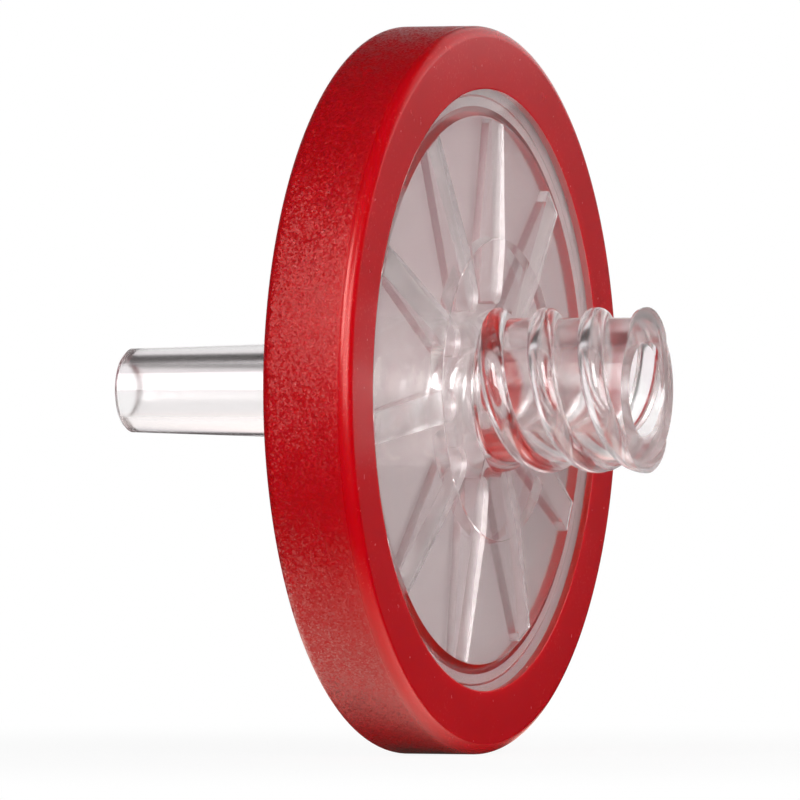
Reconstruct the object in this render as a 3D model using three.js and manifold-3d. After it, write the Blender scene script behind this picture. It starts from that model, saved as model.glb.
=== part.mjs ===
// Syringe filter, 34 mm across: two clear housing halves clamp a flat membrane, and a red
// ring is moulded round their flanges. The inlet is a threaded female Luer lock, and the
// outlet is a male Luer slip tip.
//
// Millimetres. The flow axis runs along X, with the inlet at +X. Every form is made round
// the X axis with the middle of the ring at x = 0, and the whole part is moved at the end
// so that the ring's rim stands on z = 0, under the middle of the part's length.

import * as THREE from 'three';
import { mergeVertices } from 'three/addons/utils/BufferGeometryUtils.js';
import Module from 'manifold-3d';

const wasm = await Module();
wasm.setup();

// Driving dimensions.
const FACETS = 60;                 // facets round a turned form; one of them faces straight down
const FIT_GAP = 0.03;              // clearance between pieces that touch

const RING_RADIUS = 17;
const RING_WIDTH = 4.4;
const RING_EDGE_RADIUS = 0.55;     // rounded outer edges of the ring
const RING_EDGE_STEPS = 3;

const WINDOW_RADIUS = 14.05;       // clear face that shows inside the ring
const FLANGE_RADIUS = 15.7;        // clear flange buried in the ring
const FLANGE_THICKNESS = 0.7;

const MEMBRANE_RADIUS = 14.6;
const MEMBRANE_THICKNESS = 0.2;
const MEMBRANE_X = -0.25;          // its middle, a little towards the outlet

const CENTRE_RADIUS = 7.05;        // flat middle of each clear plate; a shallow cone outside it
const FACE_RISE = 0.6;             // the clear face climbs this much from the ring to the middle
const HUB_FILLET = 0.25;

const CHAMBER_RADIUS = 13.13;      // at the membrane
const CHAMBER_WALL_LEAN = 0.42;    // the chamber's roof is this much smaller in radius
const CHAMBER_EDGE_X = 0.57;       // where the roof meets the leaning wall
const CHAMBER_RISE = 0.45;         // added to this by the middle
const RIB_COUNT = 10;
const RIB_WIDTH = 1.5;
const RIB_FIRST_ANGLE = 8;         // degrees from +Y towards +Z
const RIB_INNER_RADIUS = 4.1;      // where a rib's rounded inner end begins
const RIB_OUTER_RADIUS = 12.65;
const RIB_FOOT_X = 0.12;           // on the inlet side the ribs stop short of the membrane
const RIB_ROOT = 0.2;              // how far a rib reaches into the plate

const LOCK_MOUTH_X = 10.17;
const LOCK_ROOT_RADIUS = 3.37;
const SOCKET_MOUTH_RADIUS = 2.15;
const SOCKET_FLOOR_X = 2.4;
const LUER_TAPER = 0.03;           // radius lost per millimetre of length, a 6 % cone
const SOCKET_CHAMFER = 0.15;
const INLET_BORE_RADIUS = 1;

const THREAD_LEAD = 5;
const THREAD_STARTS = 2;
const THREAD_HEIGHT = 0.49;
const THREAD_WIDTH = 1.3;
const THREAD_SINK = 0.25;          // how deep the ridge is rooted in the barrel
const THREAD_FIRST_X = 1.7;        // where the ridges begin, inside the plate
const THREAD_STEP_ANGLE = 12;      // degrees of turn per length of ridge

const TIP_END_X = -15.98;
const TIP_RADIUS = 1.98;
const TIP_EDGE = 0.15;
const OUTLET_BORE_RADIUS = 1.25;
const OUTLET_HUB_RADIUS = 3.2;
const OUTLET_HUB_END_X = -4.7;
const OUTLET_SHOULDER_END_X = -6.2;

// Derived places, as distances from the ring's middle plane.
const RING_FACE_X = RING_WIDTH / 2;
const CHAMBER_ROOF_X = CHAMBER_EDGE_X + CHAMBER_RISE;
const FACE_X = RING_FACE_X + FACE_RISE;
const RING_APOTHEM = RING_RADIUS * Math.cos(Math.PI / FACETS);

const inletClear = new THREE.MeshStandardMaterial({
  name: 'clear_inlet', color: 0xd9cfcf, roughness: 0.08, metalness: 0, transparent: true, opacity: 0.4,
});
const outletClear = new THREE.MeshStandardMaterial({
  name: 'clear_outlet', color: 0xd9cfcf, roughness: 0.08, metalness: 0, transparent: true, opacity: 0.4,
});
const redPlastic = new THREE.MeshStandardMaterial({
  name: 'red_ring', color: 0xa3101c, roughness: 0.5, metalness: 0,
});
const membraneWhite = new THREE.MeshStandardMaterial({
  name: 'membrane', color: 0xe6e0dd, roughness: 0.9, metalness: 0,
});

// A closed geometry as a manifold solid.
function toSolid(geometry) {
  const bare = geometry.clone();
  bare.deleteAttribute('normal');
  bare.deleteAttribute('uv');
  const merged = mergeVertices(bare);
  return new wasm.Manifold(new wasm.Mesh({
    numProp: 3,
    vertProperties: new Float32Array(merged.attributes.position.array),
    triVerts: new Uint32Array(merged.index.array),
  }));
}

// A manifold solid as a geometry.
function toGeometry(solid) {
  const mesh = solid.getMesh();
  const geometry = new THREE.BufferGeometry();
  geometry.setAttribute('position', new THREE.BufferAttribute(mesh.vertProperties, 3));
  geometry.setIndex(new THREE.BufferAttribute(mesh.triVerts, 1));
  geometry.computeVertexNormals();
  return geometry;
}

// Turns a closed outline of [radius, x] points round the X axis. The outline runs outwards
// along its low-x side and back inwards along its high-x side.
function turned(outline) {
  const points = [...outline, outline[0]].map(([radius, x]) => new THREE.Vector2(radius, x));
  return new THREE.LatheGeometry(points, FACETS, Math.PI / FACETS).rotateZ(-Math.PI / 2);
}

// Points of a quarter turn round [centreRadius, centreX], both ends included.
function quarterArc(centreRadius, centreX, size, fromAngle, toAngle, steps) {
  return Array.from({ length: steps + 1 }, (_, i) => {
    const angle = THREE.MathUtils.degToRad(fromAngle + (toAngle - fromAngle) * i / steps);
    return [centreRadius + size * Math.cos(angle), centreX + size * Math.sin(angle)];
  });
}

// The half plate that both housings share: chamber roof, membrane seat, buried flange and
// the rising clear face, from the bore out to the rim and back in to the foot of the hub.
// membraneX is the middle of the membrane as seen from this half.
function plateOutline(boreRadius, hubRadius, membraneX) {
  const seatX = membraneX + MEMBRANE_THICKNESS / 2 + FIT_GAP;
  const jointX = membraneX + FIT_GAP / 2;
  return [
    [boreRadius, CHAMBER_ROOF_X],
    [CENTRE_RADIUS, CHAMBER_ROOF_X],
    [CHAMBER_RADIUS - CHAMBER_WALL_LEAN, CHAMBER_EDGE_X],
    [CHAMBER_RADIUS, seatX],
    [MEMBRANE_RADIUS + FIT_GAP, seatX],
    [MEMBRANE_RADIUS + FIT_GAP, jointX],
    [FLANGE_RADIUS, jointX],
    [FLANGE_RADIUS, FLANGE_THICKNESS],
    [WINDOW_RADIUS, FLANGE_THICKNESS],
    [WINDOW_RADIUS, RING_FACE_X],
    [CENTRE_RADIUS, FACE_X],
    [hubRadius + HUB_FILLET, FACE_X],
    [hubRadius, FACE_X + HUB_FILLET],
  ];
}

// The same outline on the other side of the ring's middle plane.
function mirrored(outline) {
  return outline.map(([radius, x]) => [radius, -x]).reverse();
}

// Ribs on the chamber roof, each with a round inner end. side is 1 for the inlet half and
// -1 for the outlet half, and foot is how far a rib's free side lies from the middle plane.
function ribs(side, foot) {
  const half = RIB_WIDTH / 2;
  const plan = new THREE.Shape();
  plan.moveTo(half, RIB_OUTER_RADIUS);
  plan.lineTo(-half, RIB_OUTER_RADIUS);
  plan.lineTo(-half, RIB_INNER_RADIUS + half);
  plan.absarc(0, RIB_INNER_RADIUS + half, half, Math.PI, 2 * Math.PI, false);
  plan.closePath();
  const height = CHAMBER_ROOF_X + RIB_ROOT - foot;
  return Array.from({ length: RIB_COUNT }, (_, i) => {
    const angle = THREE.MathUtils.degToRad(RIB_FIRST_ANGLE + i * 360 / RIB_COUNT);
    const rib = new THREE.ExtrudeGeometry(plan, { depth: height, curveSegments: 6, bevelEnabled: false });
    rib.rotateY(Math.PI / 2);
    rib.translate(side > 0 ? foot : -foot - height, 0, 0);
    return toSolid(rib.rotateX(angle));
  });
}

// One rounded right-hand ridge of the lock thread: a straight bar whose length is an
// angle, wound round the barrel. Its crest passes the mouth plane at the given angle.
function threadRidge(crestAngle) {
  const section = new THREE.Shape();
  section.moveTo(-THREAD_SINK, THREAD_WIDTH / 2);
  section.lineTo(-THREAD_SINK, -THREAD_WIDTH / 2);
  section.lineTo(0, -THREAD_WIDTH / 2);
  section.absellipse(0, 0, THREAD_HEIGHT, THREAD_WIDTH / 2, -Math.PI / 2, Math.PI / 2, false, 0);
  const overrun = THREAD_WIDTH;
  const travel = LOCK_MOUTH_X + overrun - THREAD_FIRST_X;
  const turn = travel / THREAD_LEAD * 2 * Math.PI;
  const bar = new THREE.ExtrudeGeometry(section, {
    depth: turn,
    steps: Math.round(THREE.MathUtils.radToDeg(turn) / THREAD_STEP_ANGLE),
    curveSegments: 4,
    bevelEnabled: false,
  });
  const firstAngle = crestAngle - (LOCK_MOUTH_X - THREAD_FIRST_X) / THREAD_LEAD * 2 * Math.PI;
  const place = bar.attributes.position;
  for (let i = 0; i < place.count; i += 1) {
    const radius = LOCK_ROOT_RADIUS + place.getX(i);
    const along = place.getZ(i);
    const angle = firstAngle + along;
    const x = THREAD_FIRST_X + along / (2 * Math.PI) * THREAD_LEAD - place.getY(i);
    place.setXYZ(i, x, radius * Math.cos(angle), radius * Math.sin(angle));
  }
  return toSolid(bar);
}

// Clear inlet half: plate, ribs and the female Luer lock with its conical socket.
function inletHousing() {
  const floorRadius = SOCKET_MOUTH_RADIUS - LUER_TAPER * (LOCK_MOUTH_X - SOCKET_FLOOR_X);
  const body = turned([
    ...plateOutline(INLET_BORE_RADIUS, LOCK_ROOT_RADIUS, MEMBRANE_X),
    [LOCK_ROOT_RADIUS, LOCK_MOUTH_X],
    [SOCKET_MOUTH_RADIUS + SOCKET_CHAMFER, LOCK_MOUTH_X],
    [SOCKET_MOUTH_RADIUS, LOCK_MOUTH_X - SOCKET_CHAMFER],
    [floorRadius, SOCKET_FLOOR_X],
    [INLET_BORE_RADIUS, SOCKET_FLOOR_X],
  ]);
  let solid = toSolid(body);
  for (const rib of ribs(1, RIB_FOOT_X)) {
    solid = solid.add(rib);
  }
  for (let start = 0; start < THREAD_STARTS; start += 1) {
    solid = solid.add(threadRidge(Math.PI / 2 + start * 2 * Math.PI / THREAD_STARTS));
  }
  const trim = 4 * LOCK_ROOT_RADIUS;
  const beyondMouth = new THREE.BoxGeometry(trim, trim, trim).translate(LOCK_MOUTH_X + trim / 2, 0, 0);
  return toGeometry(solid.subtract(toSolid(beyondMouth)));
}

// Clear outlet half: plate, ribs, hub and the male Luer slip tip with its bore.
function outletHousing() {
  const shoulderRadius = TIP_RADIUS + LUER_TAPER * (OUTLET_SHOULDER_END_X - TIP_END_X);
  const ribFoot = MEMBRANE_THICKNESS / 2 - MEMBRANE_X + 2 * FIT_GAP;
  const body = turned(mirrored([
    ...plateOutline(OUTLET_BORE_RADIUS, OUTLET_HUB_RADIUS, -MEMBRANE_X),
    [OUTLET_HUB_RADIUS, -OUTLET_HUB_END_X],
    [shoulderRadius, -OUTLET_SHOULDER_END_X],
    [TIP_RADIUS, -TIP_END_X - TIP_EDGE],
    [TIP_RADIUS - TIP_EDGE, -TIP_END_X],
    [OUTLET_BORE_RADIUS, -TIP_END_X],
  ]));
  let solid = toSolid(body);
  for (const rib of ribs(-1, ribFoot)) {
    solid = solid.add(rib);
  }
  return toGeometry(solid);
}

// Red ring: its two lips close over the flanges, and its outer edges are rounded.
function sealRing() {
  const lip = WINDOW_RADIUS + FIT_GAP;
  const groove = FLANGE_RADIUS + FIT_GAP;
  const grooveSide = FLANGE_THICKNESS + FIT_GAP;
  const edgeRadius = RING_RADIUS - RING_EDGE_RADIUS;
  const edgeX = RING_FACE_X - RING_EDGE_RADIUS;
  return turned([
    [lip, -RING_FACE_X],
    ...quarterArc(edgeRadius, -edgeX, RING_EDGE_RADIUS, -90, 0, RING_EDGE_STEPS),
    ...quarterArc(edgeRadius, edgeX, RING_EDGE_RADIUS, 0, 90, RING_EDGE_STEPS),
    [lip, RING_FACE_X],
    [lip, grooveSide],
    [groove, grooveSide],
    [groove, -grooveSide],
    [lip, -grooveSide],
  ]);
}

// Flat membrane, clamped at its rim between the two seats.
function filterMembrane() {
  const low = MEMBRANE_X - MEMBRANE_THICKNESS / 2;
  const high = MEMBRANE_X + MEMBRANE_THICKNESS / 2;
  const points = [[0, low], [MEMBRANE_RADIUS, low], [MEMBRANE_RADIUS, high], [0, high]]
    .map(([radius, x]) => new THREE.Vector2(radius, x));
  return new THREE.LatheGeometry(points, FACETS, Math.PI / FACETS).rotateZ(-Math.PI / 2);
}

function namedMesh(name, geometry, material) {
  const mesh = new THREE.Mesh(geometry, material);
  mesh.name = name;
  return mesh;
}

const group = new THREE.Group();
group.add(
  namedMesh('inlet_housing', inletHousing(), inletClear),
  namedMesh('outlet_housing', outletHousing(), outletClear),
  namedMesh('filter_membrane', filterMembrane(), membraneWhite),
  namedMesh('seal_ring', sealRing(), redPlastic),
);
group.position.set(-(LOCK_MOUTH_X + TIP_END_X) / 2, 0, RING_APOTHEM);

export default group;
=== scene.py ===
import math

import bmesh
import bpy
from mathutils import Matrix, Vector


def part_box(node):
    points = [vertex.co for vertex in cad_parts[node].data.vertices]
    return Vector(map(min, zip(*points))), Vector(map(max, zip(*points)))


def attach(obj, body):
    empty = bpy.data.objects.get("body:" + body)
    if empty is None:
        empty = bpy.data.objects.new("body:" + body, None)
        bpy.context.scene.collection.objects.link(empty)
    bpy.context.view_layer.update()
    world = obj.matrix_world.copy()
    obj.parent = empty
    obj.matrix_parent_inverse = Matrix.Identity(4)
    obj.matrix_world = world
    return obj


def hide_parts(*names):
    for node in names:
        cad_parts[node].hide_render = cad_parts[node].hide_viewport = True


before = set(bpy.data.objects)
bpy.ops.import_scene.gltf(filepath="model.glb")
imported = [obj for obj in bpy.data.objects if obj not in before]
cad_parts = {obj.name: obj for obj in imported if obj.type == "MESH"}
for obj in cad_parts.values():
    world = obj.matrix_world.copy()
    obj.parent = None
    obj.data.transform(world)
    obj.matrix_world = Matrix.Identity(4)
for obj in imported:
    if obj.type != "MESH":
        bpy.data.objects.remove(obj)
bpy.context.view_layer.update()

# Syringe filter on its rim: a clear two-part housing with a threaded Luer lock inlet at +X and a
# Luer slip outlet at -X, a red ring moulded round the flanges, and the pale membrane between.
#
# Forms are written in millimetres, round a flow axis that runs along X with x = 0 in the middle
# of the ring, and are put in place by to_frame(). Outlines are lists of (radius, x).

MM = 0.001
CAD_FACETS = 60
ROUND = 1 / math.cos(math.pi / CAD_FACETS)     # from a facet's distance to the true radius


def box_mm(node):
    low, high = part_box(node)
    return Vector(low) / MM, Vector(high) / MM


# Sizes read from the frame.
ring_low, ring_high = box_mm("seal_ring")
inlet_low, inlet_high = box_mm("inlet_housing")
outlet_low, _ = box_mm("outlet_housing")
membrane_low, membrane_high = box_mm("filter_membrane")

RING_MIDDLE = (ring_low + ring_high) / 2
RING_FACE_X = (ring_high.x - ring_low.x) / 2
RING_RADIUS = (ring_high.z - ring_low.z) / 2 * ROUND
FLANGE_RADIUS = (inlet_high.z - inlet_low.z) / 2 * ROUND
MEMBRANE_RADIUS = (membrane_high.z - membrane_low.z) / 2 * ROUND
LOCK_MOUTH_X = inlet_high.x - RING_MIDDLE.x
TIP_END_X = RING_MIDDLE.x - outlet_low.x

# Sizes inside the pieces.
FIT_GAP = 0.03                # round the membrane's rim, and between the two flanges
RING_EDGE_RADIUS = 0.55
WINDOW_RADIUS = 14.05
FLANGE_THICKNESS = 0.7
CENTRE_RADIUS = 7.05          # flat middle of each clear plate; a shallow cone outside it
FACE_RISE = 0.6
WITNESS_STEP = 0.025          # the flat middle's step above the cone, left by a mould insert
HUB_FILLET = 0.25
MEMBRANE_HALF = 0.1
MEMBRANE_X = -0.25            # the middle of the membrane, a little towards the outlet
CHAMBER_RADIUS = 13.13
CHAMBER_EDGE_X = 0.57         # where the roof meets the leaning wall
CHAMBER_RISE = 0.45           # the roof's further rise to its flat middle
CHAMBER_LEAN = 0.42           # how far the wall leans in, from the seat to the roof
CHAMBER_CREASE = 0.03         # blend between the roof's flat middle and its cone
CRIMP_RADIUS = 13.62          # a fine groove round the clamp seat
CRIMP_HALF = 0.05
RIB_COUNT = 10
RIB_WIDTH = 1.5
RIB_FIRST_ANGLE = math.radians(8)
RIB_INNER_RADIUS = 4.1
RIB_ROOT = 0.2                # how far a rib reaches into the plate
RIB_OUTER_RADIUS = 12.65
RIB_FOOT_X = 0.12             # on the inlet side the ribs stop short of the membrane
RIB_GAP = 0.02                # air film between an outlet rib's foot and the membrane
LOCK_ROOT_RADIUS = 3.37
SOCKET_MOUTH_RADIUS = 2.15
SOCKET_FLOOR_X = 2.4
SOCKET_CHAMFER = 0.15
LUER_TAPER = 0.03             # radius lost per millimetre of length
INLET_BORE_RADIUS = 1.0
THREAD_LEAD = 5
THREAD_STARTS = 2
THREAD_HEIGHT = 0.49
THREAD_WIDTH = 1.3
THREAD_SINK = 0.25            # how deep a ridge is rooted in the barrel
THREAD_FIRST_X = 1.7          # where the ridges begin, inside the plate
TIP_RADIUS = 1.98
TIP_EDGE = 0.15
OUTLET_BORE_RADIUS = 1.25
OUTLET_HUB_RADIUS = 3.2
OUTLET_HUB_END_X = 4.7
OUTLET_SHOULDER_END_X = 6.2
LIP_EDGE_RADIUS = 0.08        # rounding of the ring's inner edges
MEMBRANE_HOLE = 0.01          # keeps the turned outline off the axis
SEAT_FILM = 0.004             # air between the clamp and the membrane
BOND = 0.01                   # how far a bonded neighbour reaches into the clear plastic

CHAMBER_ROOF_X = CHAMBER_EDGE_X + CHAMBER_RISE
FACE_X = RING_FACE_X + FACE_RISE

STEPS_ROUND = 240
RING_STEPS_ROUND = 360
RIB_END_STEPS = 16
FILLET_STEPS = 6
RING_EDGE_STEPS = 12
LIP_EDGE_STEPS = 4
THREAD_STEPS_A_TURN = 120
THREAD_PROFILE_STEPS = 16
HOUSING_SHARP_ANGLE = 32      # degrees; an edge sharper than this stays sharp
ROUND_SHARP_ANGLE = 40


# ---------------------------------------------------------------- mesh helpers

def to_frame(points):
    """Points in millimetres from the ring's middle, as points of the frame in metres."""
    return [tuple((a + b) * MM for a, b in zip(point, RING_MIDDLE)) for point in points]


def mesh_object(name, points, faces):
    """An object in the scene, with its faces turned outwards."""
    mesh = bpy.data.meshes.new(name)
    mesh.from_pydata(to_frame(points), [], faces)
    body = bmesh.new()
    body.from_mesh(mesh)
    bmesh.ops.recalc_face_normals(body, faces=body.faces)
    body.to_mesh(mesh)
    body.free()
    piece = bpy.data.objects.new(name, mesh)
    bpy.context.scene.collection.objects.link(piece)
    return piece


def arc(centre_radius, centre_x, size, start, end, steps):
    """Points of an arc in the (radius, x) plane; angles in degrees, 0 points outwards."""
    points = []
    for i in range(steps + 1):
        angle = math.radians(start + (end - start) * i / steps)
        points.append((centre_radius + size * math.cos(angle), centre_x + size * math.sin(angle)))
    return points


def turned(name, outline, steps=STEPS_ROUND):
    """Turns a closed outline round the X axis; the outline goes out along its low-x side."""
    count = len(outline)
    points = []
    for i in range(steps):
        angle = 2 * math.pi * i / steps
        points += [(x, radius * math.cos(angle), radius * math.sin(angle)) for radius, x in outline]
    faces = []
    for i in range(steps):
        here, there = i * count, (i + 1) % steps * count
        for j in range(count):
            k = (j + 1) % count
            faces.append((here + j, there + j, there + k, here + k))
    return mesh_object(name, points, faces)


def swept(name, sections):
    """A closed bar through equal rings of points, with flat ends."""
    count = len(sections[0])
    points = [point for section in sections for point in section]
    faces = []
    for i in range(len(sections) - 1):
        here, there = i * count, (i + 1) * count
        for j in range(count):
            k = (j + 1) % count
            faces.append((here + j, here + k, there + k, there + j))
    last = (len(sections) - 1) * count
    faces.append(tuple(reversed(range(count))))
    faces.append(tuple(last + j for j in range(count)))
    return mesh_object(name, points, faces)


def combine(piece, tool, operation):
    """Joins or cuts piece with tool and removes tool."""
    step = piece.modifiers.new(operation, "BOOLEAN")
    step.operation = operation
    step.solver = "MANIFOLD"
    step.object = tool
    bpy.context.view_layer.update()
    seen = piece.evaluated_get(bpy.context.evaluated_depsgraph_get())
    mesh = bpy.data.meshes.new_from_object(seen)
    old = piece.data
    piece.modifiers.clear()
    piece.data = mesh
    bpy.data.meshes.remove(old)
    bpy.data.objects.remove(tool)


def shade(piece, angle):
    """Smooth normals that leave the large faces flat; edges past angle, in degrees, stay sharp."""
    for face in piece.data.polygons:
        face.use_smooth = True
    piece.data.set_sharp_from_angle(angle=math.radians(angle))
    step = piece.modifiers.new("normals", "WEIGHTED_NORMAL")
    step.keep_sharp = True


# ---------------------------------------------------------------- forms

def plate_outline(bore_radius, hub_radius, clamp_x):
    """Half a housing: from the bore along the roof to the flange, and back along the face to the hub.

    Here x points outwards on either half, and clamp_x is the middle of the membrane.
    """
    seat_x = clamp_x + MEMBRANE_HALF + SEAT_FILM
    return [
        (bore_radius, CHAMBER_ROOF_X),
        (CENTRE_RADIUS, CHAMBER_ROOF_X),
        (CENTRE_RADIUS + CHAMBER_CREASE, CHAMBER_ROOF_X - CHAMBER_CREASE / 10),
        (CHAMBER_RADIUS - CHAMBER_LEAN, CHAMBER_EDGE_X),
        (CHAMBER_RADIUS, seat_x),
        (CRIMP_RADIUS - CRIMP_HALF, seat_x),
        (CRIMP_RADIUS, seat_x + CRIMP_HALF),
        (CRIMP_RADIUS + CRIMP_HALF, seat_x),
        (MEMBRANE_RADIUS + FIT_GAP, seat_x),
        (MEMBRANE_RADIUS + FIT_GAP, clamp_x + FIT_GAP / 2),
        (FLANGE_RADIUS, clamp_x + FIT_GAP / 2),
        (FLANGE_RADIUS, FLANGE_THICKNESS),
        (WINDOW_RADIUS, FLANGE_THICKNESS),
        (WINDOW_RADIUS, RING_FACE_X),
        (CENTRE_RADIUS + WITNESS_STEP, FACE_X - WITNESS_STEP),
        (CENTRE_RADIUS, FACE_X),
    ] + arc(hub_radius + HUB_FILLET, FACE_X + HUB_FILLET, HUB_FILLET, 270, 180, FILLET_STEPS)


def rib(side, angle, foot_x):
    """One rib on a chamber roof, with a round inner end: its plan is (across, along)."""
    half = RIB_WIDTH / 2
    plan = [(half, RIB_OUTER_RADIUS), (-half, RIB_OUTER_RADIUS)]
    for i in range(RIB_END_STEPS + 1):
        turn = math.pi * i / RIB_END_STEPS
        plan.append((-half * math.cos(turn), RIB_INNER_RADIUS + half - half * math.sin(turn)))
    wind = Matrix.Rotation(angle, 3, "X")
    levels = [
        [tuple(wind @ Vector((side * x, along, side * across))) for across, along in plan]
        for x in (foot_x, CHAMBER_ROOF_X + RIB_ROOT)
    ]
    return swept("rib", levels)


def thread_ridge(crest_angle):
    """One wound ridge of the lock thread; its crest passes the mouth plane at crest_angle."""
    run = LOCK_MOUTH_X + THREAD_WIDTH - THREAD_FIRST_X
    steps = round(run / THREAD_LEAD * THREAD_STEPS_A_TURN)
    profile = [(-THREAD_SINK, -THREAD_WIDTH / 2)]
    for i in range(THREAD_PROFILE_STEPS + 1):
        slope = -math.pi / 2 + math.pi * i / THREAD_PROFILE_STEPS
        profile.append((THREAD_HEIGHT * math.cos(slope), THREAD_WIDTH / 2 * math.sin(slope)))
    profile.append((-THREAD_SINK, THREAD_WIDTH / 2))
    sections = []
    for i in range(steps + 1):
        x = THREAD_FIRST_X + run * i / steps
        angle = crest_angle + (x - LOCK_MOUTH_X) / THREAD_LEAD * 2 * math.pi
        section = []
        for out, up in profile:
            radius = LOCK_ROOT_RADIUS + out
            section.append((x + up, radius * math.cos(angle), radius * math.sin(angle)))
        sections.append(section)
    return swept("ridge", sections)


def add_ribs(body, side, foot_x):
    for i in range(RIB_COUNT):
        angle = RIB_FIRST_ANGLE + i * 2 * math.pi / RIB_COUNT
        combine(body, rib(side, angle, foot_x), "UNION")


def block_beyond_lock():
    """All that lies past the mouth plane of the lock."""
    reach = 8
    corners = [(-reach, -reach), (reach, -reach), (reach, reach), (-reach, reach)]
    ends = [[(x, y, z) for y, z in corners] for x in (LOCK_MOUTH_X, LOCK_MOUTH_X + reach)]
    return swept("beyond", ends)


def inlet_housing():
    """The clear inlet half: plate, ribs and the threaded lock, cut off at its mouth."""
    floor_radius = SOCKET_MOUTH_RADIUS - LUER_TAPER * (LOCK_MOUTH_X - SOCKET_FLOOR_X)
    body = turned("clear_inlet_half", plate_outline(INLET_BORE_RADIUS, LOCK_ROOT_RADIUS, MEMBRANE_X) + [
        (LOCK_ROOT_RADIUS, LOCK_MOUTH_X),
        (SOCKET_MOUTH_RADIUS + SOCKET_CHAMFER, LOCK_MOUTH_X),
        (SOCKET_MOUTH_RADIUS, LOCK_MOUTH_X - SOCKET_CHAMFER),
        (floor_radius, SOCKET_FLOOR_X),
        (INLET_BORE_RADIUS, SOCKET_FLOOR_X),
    ])
    add_ribs(body, 1, RIB_FOOT_X)
    for start in range(THREAD_STARTS):
        combine(body, thread_ridge(math.pi / 2 + start * 2 * math.pi / THREAD_STARTS), "UNION")
    combine(body, block_beyond_lock(), "DIFFERENCE")
    shade(body, HOUSING_SHARP_ANGLE)
    return body


def outlet_housing():
    """The clear outlet half: plate, ribs, hub and the slip tip."""
    shoulder_radius = TIP_RADIUS + LUER_TAPER * (TIP_END_X - OUTLET_SHOULDER_END_X)
    outline = plate_outline(OUTLET_BORE_RADIUS, OUTLET_HUB_RADIUS, -MEMBRANE_X) + [
        (OUTLET_HUB_RADIUS, OUTLET_HUB_END_X),
        (shoulder_radius, OUTLET_SHOULDER_END_X),
        (TIP_RADIUS, TIP_END_X - TIP_EDGE),
        (TIP_RADIUS - TIP_EDGE, TIP_END_X),
        (OUTLET_BORE_RADIUS, TIP_END_X),
    ]
    body = turned("clear_outlet_half", [(radius, -x) for radius, x in reversed(outline)])
    add_ribs(body, -1, MEMBRANE_HALF - MEMBRANE_X + RIB_GAP)
    shade(body, HOUSING_SHARP_ANGLE)
    return body


def seal_ring():
    """The red ring, with the groove that holds both flanges."""
    lip = WINDOW_RADIUS - BOND
    groove = FLANGE_RADIUS - BOND
    side = FLANGE_THICKNESS - BOND
    edge = RING_RADIUS - RING_EDGE_RADIUS
    edge_x = RING_FACE_X - RING_EDGE_RADIUS
    lip_edge = lip + LIP_EDGE_RADIUS
    lip_edge_x = RING_FACE_X - LIP_EDGE_RADIUS
    body = turned("red_ring", (
        arc(lip_edge, -lip_edge_x, LIP_EDGE_RADIUS, -180, -90, LIP_EDGE_STEPS)
        + arc(edge, -edge_x, RING_EDGE_RADIUS, -90, 0, RING_EDGE_STEPS)
        + arc(edge, edge_x, RING_EDGE_RADIUS, 0, 90, RING_EDGE_STEPS)
        + arc(lip_edge, lip_edge_x, LIP_EDGE_RADIUS, 90, 180, LIP_EDGE_STEPS)
        + [(lip, side), (groove, side), (groove, -side), (lip, -side)]
    ), steps=RING_STEPS_ROUND)
    shade(body, ROUND_SHARP_ANGLE)
    return body


def filter_membrane():
    """The pale disc between the halves."""
    low = MEMBRANE_X - MEMBRANE_HALF
    high = MEMBRANE_X + MEMBRANE_HALF
    body = turned("membrane_disc", [
        (MEMBRANE_HOLE, low),
        (MEMBRANE_RADIUS, low),
        (MEMBRANE_RADIUS, high),
        (MEMBRANE_HOLE, high),
    ])
    shade(body, ROUND_SHARP_ANGLE)
    return body


# ---------------------------------------------------------------- node helpers

def new_material(name):
    """A bare material with one Principled shader: (material, tree, shader, output)."""
    material = bpy.data.materials.new(name)
    material.use_nodes = True
    tree = material.node_tree
    tree.nodes.clear()
    output = tree.nodes.new("ShaderNodeOutputMaterial")
    shader = tree.nodes.new("ShaderNodeBsdfPrincipled")
    tree.links.new(shader.outputs[0], output.inputs[0])
    return material, tree, shader, output


def feed(tree, socket, value):
    """Sets a socket to a number or vector, or links it to another socket."""
    if isinstance(value, bpy.types.NodeSocket):
        tree.links.new(value, socket)
    else:
        socket.default_value = value


def link_math(tree, operation, first, second, clamp=False):
    """A maths node; its inputs are numbers or other sockets."""
    node = tree.nodes.new("ShaderNodeMath")
    node.operation = operation
    node.use_clamp = clamp
    feed(tree, node.inputs[0], first)
    feed(tree, node.inputs[1], second)
    return node.outputs[0]


def link_vector(tree, operation, first, second=(0, 0, 0)):
    """Vector maths; a dot product and a length give one number."""
    node = tree.nodes.new("ShaderNodeVectorMath")
    node.operation = operation
    feed(tree, node.inputs[0], first)
    feed(tree, node.inputs[1], second)
    return node.outputs["Value" if operation in ("DOT_PRODUCT", "LENGTH") else "Vector"]


def link_parts(tree, vector):
    """The x, y and z of a vector."""
    node = tree.nodes.new("ShaderNodeSeparateXYZ")
    tree.links.new(vector, node.inputs[0])
    return node.outputs


def link_range(tree, value, low, high, to_low=0.0, to_high=1.0):
    """Goes smoothly from to_low at low to to_high at high."""
    node = tree.nodes.new("ShaderNodeMapRange")
    node.interpolation_type = "SMOOTHSTEP"
    for name, level in (("From Min", low), ("From Max", high), ("To Min", to_low), ("To Max", to_high)):
        node.inputs[name].default_value = level
    tree.links.new(value, node.inputs["Value"])
    return node.outputs[0]


def link_zone(tree, length, low, high, to_low=0.0, to_high=1.0):
    """link_range for a length, with low and high in millimetres."""
    return link_range(tree, length, low * MM, high * MM, to_low, to_high)


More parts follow.
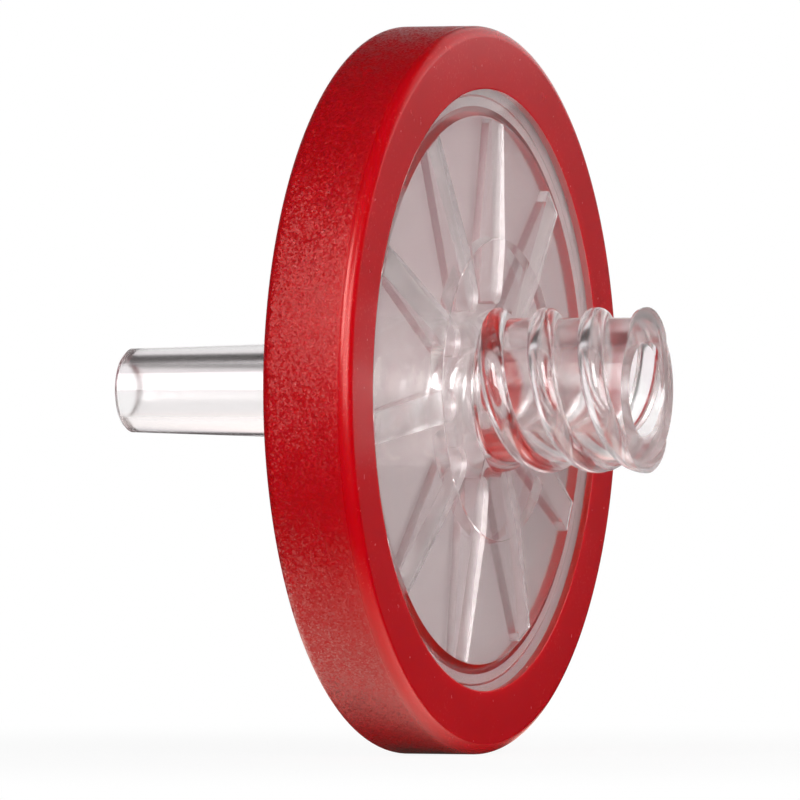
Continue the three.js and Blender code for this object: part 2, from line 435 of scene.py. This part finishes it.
def link_noise(tree, place, scale, detail=2.0):
    """Soft noise from 0 to 1; scale is in lumps per metre."""
    node = tree.nodes.new("ShaderNodeTexNoise")
    node.inputs["Scale"].default_value = scale
    node.inputs["Detail"].default_value = detail
    tree.links.new(place, node.inputs["Vector"])
    return node.outputs["Fac"]


def link_tint(tree, factor, first, second):
    """Mixes two colours; each is a tuple or a socket."""
    node = tree.nodes.new("ShaderNodeMix")
    node.data_type = "RGBA"
    tree.links.new(factor, node.inputs["Factor"])
    for socket, colour in ((node.inputs["A"], first), (node.inputs["B"], second)):
        feed(tree, socket, (*colour, 1) if isinstance(colour, tuple) else colour)
    return node.outputs["Result"]


def link_blend(tree, factor, first, second):
    """Mixes two shaders."""
    node = tree.nodes.new("ShaderNodeMixShader")
    for socket, value in zip(node.inputs, (factor, first, second)):
        tree.links.new(value, socket)
    return node.outputs[0]


def link_ramp(tree, value, stops):
    """Colours that follow a value from -1 to 1."""
    scale = tree.nodes.new("ShaderNodeMapRange")
    scale.inputs["From Min"].default_value = -1
    scale.inputs["From Max"].default_value = 1
    tree.links.new(value, scale.inputs["Value"])
    ramp = tree.nodes.new("ShaderNodeValToRGB")
    ramp.color_ramp.interpolation = "EASE"
    points = ramp.color_ramp.elements
    while len(points) < len(stops):
        points.new(0.5)
    for point, (level, colour) in zip(points, stops):
        point.position = (level + 1) / 2
        point.color = (*colour, 1)
    tree.links.new(scale.outputs[0], ramp.inputs[0])
    return ramp.outputs[0]


def link_bump(tree, shader, height, strength, distance):
    node = tree.nodes.new("ShaderNodeBump")
    node.inputs["Strength"].default_value = strength
    node.inputs["Distance"].default_value = distance
    tree.links.new(height, node.inputs["Height"])
    tree.links.new(node.outputs[0], shader.inputs["Normal"])


def link_flakes(tree, shader, place, scale, tilt, crown):
    """Tilts the normal by chance in each small cell, up to tilt, and along X by crown."""
    cells = tree.nodes.new("ShaderNodeTexVoronoi")
    cells.inputs["Scale"].default_value = scale
    tree.links.new(place, cells.inputs["Vector"])
    chance = link_vector(tree, "SUBTRACT", cells.outputs["Color"], (0.5, 0.5, 0.5))
    lean = link_vector(tree, "MULTIPLY", chance, tilt)
    across = tree.nodes.new("ShaderNodeCombineXYZ")
    tree.links.new(crown, across.inputs["X"])
    normal = tree.nodes.new("ShaderNodeNewGeometry").outputs["Normal"]
    tilted = link_vector(tree, "ADD", link_vector(tree, "ADD", normal, lean), across.outputs[0])
    tree.links.new(link_vector(tree, "NORMALIZE", tilted), shader.inputs["Normal"])


def place_in_part(tree):
    """Where a point lies from the middle of the ring: (vector, x, distance from the flow axis)."""
    place = tree.nodes.new("ShaderNodeTexCoord").outputs["Object"]
    from_middle = link_vector(tree, "SUBTRACT", place, RING_MIDDLE * MM)
    parts = link_parts(tree, from_middle)
    square = link_math(tree, "ADD", link_math(tree, "POWER", parts["Y"], 2),
                       link_math(tree, "POWER", parts["Z"], 2))
    return from_middle, parts["X"], link_math(tree, "POWER", square, 0.5)


# ---------------------------------------------------------------- materials

CLEAR_TINT = (0.97, 0.955, 0.955, 1)
CLEAR_SHADOW = (0.84, 0.79, 0.79, 1)
RED_TONES = ((0.36, 0.0004, 0.004), (0.42, 0.001, 0.006))
RED_FLECK = (0.55, 0.06, 0.05)
RED_UNDER_LIP = (0.38, 0.012, 0.01)
# Painted light: the groove's red is far brighter than the ring's, standing in for light led there
# through the clear plastic.
RED_PAINTED_GROOVE_LIGHT = (1, 0.05, 0.04)
MEMBRANE_TONES = ((0.35, 0.31, 0.31), (0.41, 0.375, 0.375))


def clear_plastic():
    """Polished plates; the ribs' feet, the bores, the lock and the tip's end are more or less matt."""
    material, tree, shader, output = new_material("clear_plastic")
    place, x, radius = place_in_part(tree)
    shader.inputs["Base Color"].default_value = CLEAR_TINT
    shader.inputs["IOR"].default_value = 1.585
    shader.inputs["Transmission Weight"].default_value = 1
    # Each matt zone: the length it goes by, where it begins, where it is full, and its roughness.
    feet = (link_math(tree, "ABSOLUTE", x, 0), 0.4, 0.35, 0.16)
    bores = (radius, OUTLET_BORE_RADIUS + 0.1, OUTLET_BORE_RADIUS + 0.05, 0.16)
    tip_end = (x, 0.1 - TIP_END_X, 0.05 - TIP_END_X, 0.3)
    lock = (x, FACE_X + 0.1, FACE_X + 0.3, 0.08)
    mouth = (x, LOCK_MOUTH_X - 0.06, LOCK_MOUTH_X - 0.02, 0.12)
    matt = 0
    for length, begins, full, level in (feet, bores, tip_end, lock, mouth):
        matt = link_math(tree, "MAXIMUM", matt, link_zone(tree, length, begins, full, 0, level))
    grain = link_math(tree, "MULTIPLY", link_noise(tree, place, 900), 0.04)
    rough = link_math(tree, "ADD", link_math(tree, "ADD", matt, grain), 0.04)
    tree.links.new(rough, shader.inputs["Roughness"])
    # Lamps shine through, a little dimmed.
    shadow = tree.nodes.new("ShaderNodeBsdfTransparent")
    shadow.inputs["Color"].default_value = CLEAR_SHADOW
    path = tree.nodes.new("ShaderNodeLightPath")
    both = link_blend(tree, path.outputs["Is Shadow Ray"], shader.outputs[0], shadow.outputs[0])
    tree.links.new(both, output.inputs[0])
    return material


def red_plastic():
    """Deep red with a few pale flecks; sparked round the rim and polished elsewhere."""
    material, tree, shader, _ = new_material("red_plastic")
    place, x, radius = place_in_part(tree)
    cloud = link_noise(tree, place, 220, 3)
    base = link_tint(tree, cloud, *RED_TONES)
    fleck = link_range(tree, link_noise(tree, place, 6500, 1), 0.6, 0.72)
    fleck = link_math(tree, "MULTIPLY", fleck, link_range(tree, cloud, 0.42, 0.6, 0, 0.3))
    base = link_tint(tree, fleck, base, RED_FLECK)
    # The faces bonded to the clear plastic get their own red. In the groove round the flanges that red
    # is painted light: far brighter than the ring, it stands in for light led there through the clear
    # plastic.
    round_flange = link_zone(tree, radius, FLANGE_RADIUS + 0.2, FLANGE_RADIUS + 0.1)
    across = link_math(tree, "ABSOLUTE", x, 0)
    under_face = link_zone(tree, across, RING_FACE_X - 0.04, RING_FACE_X - 0.12)
    bonded = link_math(tree, "MULTIPLY", round_flange, under_face)
    painted_groove_light_mask = link_zone(tree, radius, FLANGE_RADIUS - 0.7, FLANGE_RADIUS - 0.5)
    inner = link_tint(tree, painted_groove_light_mask, RED_UNDER_LIP, RED_PAINTED_GROOVE_LIGHT)
    tree.links.new(link_tint(tree, bonded, base, inner), shader.inputs["Base Color"])
    # The mould was spark eroded round the rim, and polished on the faces and the front edge.
    on_rim = link_zone(tree, radius, RING_RADIUS - 0.5, RING_RADIUS - 0.2)
    off_edge = link_zone(tree, x, RING_FACE_X - 0.7, RING_FACE_X - 0.5, 1, 0)
    sparked = link_math(tree, "MULTIPLY", on_rim, off_edge)
    grain = link_math(tree, "MULTIPLY", link_noise(tree, place, 2500), 0.1)
    rough = link_math(tree, "ADD", grain, 0.2)
    rough = link_math(tree, "ADD", rough, link_math(tree, "MULTIPLY", sparked, 0.1))
    tree.links.new(rough, shader.inputs["Roughness"])
    tilt = link_math(tree, "MULTIPLY", link_zone(tree, x, -2, 1.5, 0.5, 0.34), sparked)
    crown = link_math(tree, "MULTIPLY", link_math(tree, "MULTIPLY", x, sparked), 35)
    link_flakes(tree, shader, place, 11500, tilt, crown)
    shader.inputs["Specular Tint"].default_value = (1, 0.5, 0.45, 1)
    shader.inputs["Subsurface Weight"].default_value = 1
    shader.inputs["Subsurface Radius"].default_value = (1, 0.15, 0.1)
    shader.inputs["Subsurface Scale"].default_value = 0.002
    return material


def membrane_fabric():
    """Matt and finely pored, with faint clouds."""
    material, tree, shader, _ = new_material("membrane_fabric")
    place, _, _ = place_in_part(tree)
    cloudy = link_tint(tree, link_noise(tree, place, 400, 3), *MEMBRANE_TONES)
    tree.links.new(cloudy, shader.inputs["Base Color"])
    shader.inputs["Roughness"].default_value = 0.9
    link_bump(tree, shader, link_noise(tree, place, 6000, 3), 0.4, 0.00002)
    return material


# ---------------------------------------------------------------- the part

clear = clear_plastic()
PIECES = [
    (inlet_housing, "inlet_housing", "clear_inlet", clear),
    (outlet_housing, "outlet_housing", "clear_outlet", clear),
    (seal_ring, "seal_ring", "red_ring", red_plastic()),
    (filter_membrane, "filter_membrane", "membrane", membrane_fabric()),
]
for make, node, slot, material in PIECES:
    piece = make()
    piece.data.materials.clear()
    piece.data.materials.append(material)
    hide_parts(node)
    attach(piece, "root")


# ---------------------------------------------------------------- stage

# The part stands before a white card, and a pale wall closes the room beside the card.
CARD_DIRECTION = (-0.38, 0.92, 0.0)
WALL_DIRECTION = (0.38, 0.92, 0.0)
WHITE = (1, 1, 1)
CARD_THROUGH_PLASTIC = (0.97, 0.93, 0.95)
# What glossy faces see of the room, by how nearly they look at the card: 1 is straight at it.
ROOM_LEVELS = [
    (-1, (0.02, 0.02, 0.02)),
    (0.7, (0.02, 0.02, 0.02)),
    (0.9, (0.15, 0.15, 0.15)),
    (0.99, WHITE),
]
# What the clear plastic lets through of the room beside the card, by the direction's x.
SIDE_LEVELS = [
    (-1, (0.05, 0.046, 0.046)),
    (0.1, (0.05, 0.046, 0.046)),
    (0.3, (0.25, 0.01, 0.04)),
    (0.5, (0.25, 0.01, 0.04)),
    (0.7, (1.15, 1.1, 1.04)),
    (1, (0.5, 0.48, 0.46)),
]
FLOOR_HALF = 2.0               # metres
# A painted pool of warm light on the floor, seen in gloss alone.
PAINTED_POOL_COLOUR = (1, 0.72, 0.64, 1)
PAINTED_POOL_STRENGTH = 2.7

# Lamps: place, size and power, in metres and watts. All but the last look at the part's middle.
LAMP_TARGET = (0, 0, 0.017)
RIGHT_SOFTBOX = ((0.37, -0.15, 0.07), (0.12, 0.3), 0.85)
LEFT_SOFTBOX = ((-0.2, -0.33, 0.16), (0.18, 0.3), 0.85)
FRONT_SOFTBOX = ((0.34, -0.34, 0.1), (0.3, 0.3), 2.1)
STRIP_SOFTBOX = ((0.09, -0.37, 0.21), (0.15, 0.24), 1.7)
BACK_CARD = ((0.026, 0.058, 0.068), (0.08, 0.066), 0.012)
BACK_CARD_TARGET = (0, 0, 0.068)

# The camera is level. Its distance and aim are in millimetres.
CAMERA_AZIMUTH = math.radians(22.25)
CAMERA_DISTANCE = 600
AIM_LEFT = 2.06
AIM_BELOW = 0.46
SENSOR_WIDTH = 36
FOCAL_LENGTH = 577.8


def painted_floor_pool(tree, place, distance):
    """A painted pool of warm light on the floor: an emission that gloss alone sees.

    It is painted dim under the part as a shadow, full 10 to 14 mm from its middle, gone by 27 mm,
    and left out in the corner at +X and +Y.
    """
    parts = link_parts(tree, place)
    shaded = link_zone(tree, distance, 5, 10, 0.1, PAINTED_POOL_STRENGTH)
    edge = link_zone(tree, distance, 14, 27, 1, 0.02)
    off_corner = link_math(tree, "MAXIMUM", link_zone(tree, parts["Y"], 4, -2),
                           link_zone(tree, parts["X"], 7, 3))
    level = link_math(tree, "MULTIPLY", shaded, link_math(tree, "MULTIPLY", edge, off_corner))
    painted_pool = tree.nodes.new("ShaderNodeEmission")
    painted_pool.inputs["Color"].default_value = PAINTED_POOL_COLOUR
    tree.links.new(level, painted_pool.inputs["Strength"])
    return painted_pool.outputs[0]


def floor_material():
    """White: it shows the camera the shadow close to the part and is plain further out."""
    material, tree, shader, output = new_material("floor_white")
    shader.inputs["Base Color"].default_value = (0.9, 0.9, 0.9, 1)
    shader.inputs["Roughness"].default_value = 0.7
    shader.inputs["Specular IOR Level"].default_value = 0.1
    place = tree.nodes.new("ShaderNodeTexCoord").outputs["Object"]
    distance = link_vector(tree, "LENGTH", place)
    path = tree.nodes.new("ShaderNodeLightPath").outputs
    fade = link_zone(tree, distance, 10, 60, 0.92, 1)
    seen = link_math(tree, "MULTIPLY", path["Is Camera Ray"], fade)
    # Through the clear plastic it is plain white towards the card and at -X.
    outwards = link_vector(tree, "NORMALIZE", place)
    to_card = link_vector(tree, "DOT_PRODUCT", outwards, CARD_DIRECTION)
    lit = link_math(tree, "MAXIMUM", link_range(tree, to_card, 0.85, 0.95),
                    link_range(tree, link_parts(tree, outwards)["X"], 0, -0.2))
    through = link_math(tree, "MULTIPLY", path["Is Transmission Ray"], lit)
    white = tree.nodes.new("ShaderNodeEmission")
    share = link_math(tree, "MAXIMUM", seen, through)
    plain = link_blend(tree, share, shader.outputs[0], white.outputs[0])
    # In gloss the floor shows the painted pool of light instead.
    glossy, transmitted = path["Is Glossy Ray"], path["Is Transmission Ray"]
    mirrored = link_math(tree, "SUBTRACT", glossy, transmitted, clamp=True)
    both = link_blend(tree, mirrored, plain, painted_floor_pool(tree, place, distance))
    tree.links.new(both, output.inputs[0])
    return material


def add_floor():
    """The floor touches the lowest point of the round rim."""
    corners = [(-1, -1), (1, -1), (1, 1), (-1, 1)]
    mesh = bpy.data.meshes.new("floor")
    mesh.from_pydata([(x * FLOOR_HALF, y * FLOOR_HALF, 0) for x, y in corners], [], [(0, 1, 2, 3)])
    mesh.materials.append(floor_material())
    floor = bpy.data.objects.new("floor", mesh)
    floor.location.z = (RING_MIDDLE.z - RING_RADIUS) * MM
    bpy.context.scene.collection.objects.link(floor)


def add_lamp(name, lamp, target=LAMP_TARGET):
    """A rectangular area light from its (place, size, power), turned towards target."""
    place, size, power = lamp
    light = bpy.data.lights.new(name, "AREA")
    light.shape = "RECTANGLE"
    light.size, light.size_y = size
    light.energy = power
    body = bpy.data.objects.new(name, light)
    body.location = place
    body.rotation_euler = (Vector(target) - Vector(place)).to_track_quat("-Z", "Y").to_euler()
    bpy.context.scene.collection.objects.link(body)
    return body


def add_lamps():
    add_lamp("right_softbox", RIGHT_SOFTBOX)
    add_lamp("left_softbox", LEFT_SOFTBOX)
    add_lamp("front_softbox", FRONT_SOFTBOX)
    # The strip is seen in gloss alone: it makes the light line along the rim's front edge.
    strip = add_lamp("strip_softbox", STRIP_SOFTBOX)
    strip.visible_diffuse = False
    strip.visible_transmission = False
    back_card = add_lamp("back_card", BACK_CARD, BACK_CARD_TARGET)
    back_card.visible_transmission = False


def background(tree, colour):
    """A world shader of strength 1; its colour is a tuple or a socket."""
    node = tree.nodes.new("ShaderNodeBackground")
    feed(tree, node.inputs["Color"], (*colour, 1) if isinstance(colour, tuple) else colour)
    return node.outputs[0]


def add_world():
    """A dim studio round a white card that stands behind the part and fills the view."""
    world = bpy.data.worlds.new("studio")
    bpy.context.scene.world = world
    world.use_nodes = True
    tree = world.node_tree
    tree.nodes.clear()
    output = tree.nodes.new("ShaderNodeOutputWorld")
    direction = tree.nodes.new("ShaderNodeTexCoord").outputs["Generated"]
    parts = link_parts(tree, direction)
    to_card = link_vector(tree, "DOT_PRODUCT", direction, CARD_DIRECTION)
    to_wall = link_vector(tree, "DOT_PRODUCT", direction, WALL_DIRECTION)
    # In gloss: the card, and the wall, which fades out towards the floor.
    wall = link_math(tree, "MULTIPLY", link_range(tree, to_wall, 0.85, 0.97, 0, 0.3),
                     link_range(tree, parts["Z"], -0.02, 0.03))
    glossy = background(tree, link_tint(tree, wall, link_ramp(tree, to_card, ROOM_LEVELS), WHITE))
    # Through the clear plastic: the card and the ceiling, with the side levels elsewhere.
    bright = link_math(tree, "MAXIMUM", link_range(tree, to_card, 0.88, 0.93),
                       link_range(tree, parts["Z"], 0.87, 0.92, 0, 0.9))
    beside = link_ramp(tree, parts["X"], SIDE_LEVELS)
    through = background(tree, link_tint(tree, bright, beside, CARD_THROUGH_PLASTIC))
    path = tree.nodes.new("ShaderNodeLightPath").outputs
    room = link_blend(tree, path["Is Transmission Ray"], glossy, through)
    view = link_blend(tree, path["Is Camera Ray"], room, background(tree, WHITE))
    tree.links.new(view, output.inputs[0])


def add_camera():
    """A long lens from in front, turned a little towards the inlet."""
    right = Vector((math.cos(CAMERA_AZIMUTH), math.sin(CAMERA_AZIMUTH), 0))
    back = Vector((math.sin(CAMERA_AZIMUTH), -math.cos(CAMERA_AZIMUTH), 0))
    aim = RING_MIDDLE - right * AIM_LEFT - Vector((0, 0, AIM_BELOW))
    data = bpy.data.cameras.new("camera")
    data.sensor_width = SENSOR_WIDTH
    data.lens = FOCAL_LENGTH
    data.clip_start = 0.01
    camera = bpy.data.objects.new("camera", data)
    camera.location = (aim + back * CAMERA_DISTANCE) * MM
    camera.rotation_euler = (-back).to_track_quat("-Z", "Y").to_euler()
    bpy.context.scene.collection.objects.link(camera)
    bpy.context.scene.camera = camera


add_camera()
add_world()
add_floor()
add_lamps()

scene = bpy.context.scene
scene.view_settings.view_transform = "Standard"
# Many clear faces lie behind one another at the lock.
scene.cycles.max_bounces = 20
scene.cycles.glossy_bounces = 10
scene.cycles.transmission_bounces = 16
